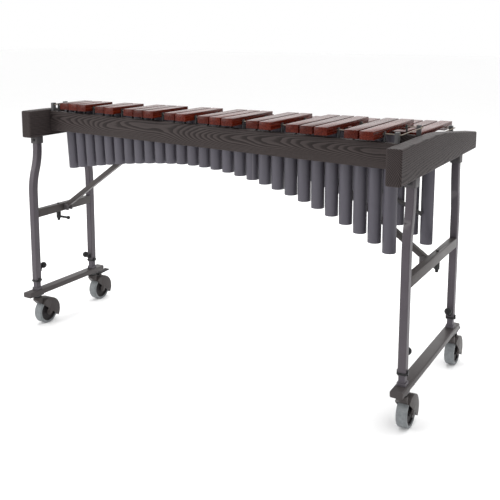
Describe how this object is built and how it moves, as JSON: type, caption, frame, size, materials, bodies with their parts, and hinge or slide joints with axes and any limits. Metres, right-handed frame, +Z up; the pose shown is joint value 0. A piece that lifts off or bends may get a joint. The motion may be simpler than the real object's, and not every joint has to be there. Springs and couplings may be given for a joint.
{
  "type": "xylophone",
  "caption": "Concert xylophone with hardwood bars in two rows over hanging tube resonators, slanted wooden rails between end blocks, and a height-adjustable leg stand on braked swivel casters",
  "frame": {"origin": "on the floor, under the middle of the instrument's box", "axes": "+X towards the low notes, +Y towards the player, +Z up; -Y is the audience side"},
  "size_m": [1.404, 0.724, 0.792],
  "materials": {
    "stained_ash": "dark stained open-grain ash, satin",
    "rosewood": "oiled red-brown hardwood, satin",
    "bar_cord": "braided cord",
    "post_black": "matte black",
    "post_grey": "dull grey",
    "tube_anthracite": "satin anthracite",
    "tube_stop": "satin anthracite",
    "bank_metal": "satin black",
    "rivet_metal": "bright",
    "black_fastener": "black",
    "bracket_paint": "satin dark grey",
    "leg_paint": "satin grey-brown powder coat",
    "inner_leg_paint": "satin grey powder coat",
    "bar_paint": "satin grey-brown powder coat",
    "beam_paint": "satin grey-brown powder coat",
    "knob_plastic": "black",
    "lever_black": "black",
    "collar_plastic": "black",
    "caster_steel": "dark",
    "caster_hood": "dark grey moulded",
    "wheel_core": "dark grey moulded",
    "wheel_tread": "light grey thermoplastic rubber",
    "brake_plastic": "dark grey moulded"
  },
  "bodies": {
    "frame": {"end_block_low": "stained_ash", "end_block_high": "stained_ash", "front_board": "stained_ash", "accidental_inner_rail": "stained_ash", "natural_inner_rail": "stained_ash", "back_board": "stained_ash", "rail_spreaders": "stained_ash", "natural_bars_low": "rosewood", "natural_bars_high": "rosewood", "accidental_bars_low": "rosewood", "accidental_bars_high": "rosewood", "natural_cord": "bar_cord", "accidental_cord": "bar_cord", "bar_posts": "post_black", "cord_end_posts": "post_grey", "natural_tubes_low": "tube_anthracite", "natural_tubes_high": "tube_anthracite", "accidental_tubes_low": "tube_anthracite", "accidental_tubes_high": "tube_anthracite", "tube_stops": "tube_stop", "natural_bank_strips": "bank_metal", "accidental_bank_strip": "bank_metal", "bank_rivets": "rivet_metal", "bank_hangers": "bank_metal", "leg_sockets": "bracket_paint", "socket_bolts": "black_fastener", "leg_low_front": "leg_paint", "leg_low_back": "leg_paint", "leg_high_front": "leg_paint", "leg_high_back": "leg_paint", "crossbars": "bar_paint", "braces": "bar_paint", "brace_brackets": "bracket_paint", "leg_collars": "collar_plastic"},
    "base_low": {"beam_low": "beam_paint", "inner_legs_low": "inner_leg_paint", "caster_mounts_low": "caster_steel"},
    "base_high": {"beam_high": "beam_paint", "inner_legs_high": "inner_leg_paint", "caster_mounts_high": "caster_steel"},
    "caster_low_front": {"fork_low_front": "caster_hood"},
    "roller_low_front": {"wheel_low_front": "wheel_core", "tread_low_front": "wheel_tread"},
    "knob_low_front": {"leg_knob_low_front": "knob_plastic"},
    "caster_low_back": {"fork_low_back": "caster_hood"},
    "roller_low_back": {"wheel_low_back": "wheel_core", "tread_low_back": "wheel_tread"},
    "pedal_low": {"brake_pedal_low": "brake_plastic"},
    "knob_low_back": {"leg_knob_low_back": "knob_plastic"},
    "caster_high_front": {"fork_high_front": "caster_hood"},
    "roller_high_front": {"wheel_high_front": "wheel_core", "tread_high_front": "wheel_tread"},
    "knob_high_front": {"leg_knob_high_front": "knob_plastic"},
    "caster_high_back": {"fork_high_back": "caster_hood"},
    "roller_high_back": {"wheel_high_back": "wheel_core", "tread_high_back": "wheel_tread"},
    "pedal_high": {"brake_pedal_high": "brake_plastic"},
    "knob_high_back": {"leg_knob_high_back": "knob_plastic"},
    "lever_low": {"clamp_lever_low": "lever_black"},
    "lever_high": {"clamp_lever_high": "lever_black"}
  },
  "joints": [
    {"name": "leg_height_low", "type": "slide", "parent": "frame", "child": "base_low", "axis": [0, 0, -1], "range_m": [0, 0.15]},
    {"name": "leg_height_high", "type": "slide", "parent": "frame", "child": "base_high", "axis": [0, 0, -1], "range_m": [0, 0.15]},
    {"name": "swivel_low_front", "type": "hinge", "parent": "base_low", "child": "caster_low_front", "pos_m": [0.68, -0.238, 0.1], "axis": [0, 0, 1], "continuous": true},
    {"name": "roll_low_front", "type": "hinge", "parent": "caster_low_front", "child": "roller_low_front", "pos_m": [0.68, -0.2, 0.043], "axis": [1, 0, 0], "continuous": true},
    {"name": "lock_low_front", "type": "hinge", "parent": "frame", "child": "knob_low_front", "pos_m": [0.68, -0.238, 0.198], "axis": [0, 1, 0], "range_deg": [-90, 90]},
    {"name": "swivel_low_back", "type": "hinge", "parent": "base_low", "child": "caster_low_back", "pos_m": [0.68, 0.216, 0.1], "axis": [0, 0, 1], "continuous": true},
    {"name": "roll_low_back", "type": "hinge", "parent": "caster_low_back", "child": "roller_low_back", "pos_m": [0.68, 0.254, 0.043], "axis": [1, 0, 0], "continuous": true},
    {"name": "brake_low", "type": "hinge", "parent": "caster_low_back", "child": "pedal_low", "pos_m": [0.68, 0.248, 0.0975], "axis": [-1, 0, 0], "range_deg": [0, 8]},
    {"name": "lock_low_back", "type": "hinge", "parent": "frame", "child": "knob_low_back", "pos_m": [0.68, 0.216, 0.18], "axis": [0, 1, 0], "range_deg": [-90, 90]},
    {"name": "swivel_high_front", "type": "hinge", "parent": "base_high", "child": "caster_high_front", "pos_m": [-0.68, -0.157, 0.1], "axis": [0, 0, 1], "continuous": true},
    {"name": "roll_high_front", "type": "hinge", "parent": "caster_high_front", "child": "roller_high_front", "pos_m": [-0.68, -0.119, 0.043], "axis": [1, 0, 0], "continuous": true},
    {"name": "lock_high_front", "type": "hinge", "parent": "frame", "child": "knob_high_front", "pos_m": [-0.68, -0.157, 0.198], "axis": [0, 1, 0], "range_deg": [-90, 90]},
    {"name": "swivel_high_back", "type": "hinge", "parent": "base_high", "child": "caster_high_back", "pos_m": [-0.68, 0.131, 0.1], "axis": [0, 0, 1], "continuous": true},
    {"name": "roll_high_back", "type": "hinge", "parent": "caster_high_back", "child": "roller_high_back", "pos_m": [-0.68, 0.169, 0.043], "axis": [1, 0, 0], "continuous": true},
    {"name": "brake_high", "type": "hinge", "parent": "caster_high_back", "child": "pedal_high", "pos_m": [-0.68, 0.163, 0.0975], "axis": [-1, 0, 0], "range_deg": [0, 8]},
    {"name": "lock_high_back", "type": "hinge", "parent": "frame", "child": "knob_high_back", "pos_m": [-0.68, 0.131, 0.18], "axis": [0, 1, 0], "range_deg": [-90, 90]},
    {"name": "clamp_low", "type": "hinge", "parent": "frame", "child": "lever_low", "pos_m": [0.68, 0.04, 0.38], "axis": [0, 0, 1], "range_deg": [-75, 75]},
    {"name": "clamp_high", "type": "hinge", "parent": "frame", "child": "lever_high", "pos_m": [-0.68, -0.038, 0.38], "axis": [0, 0, 1], "range_deg": [-75, 75]}
  ]
}
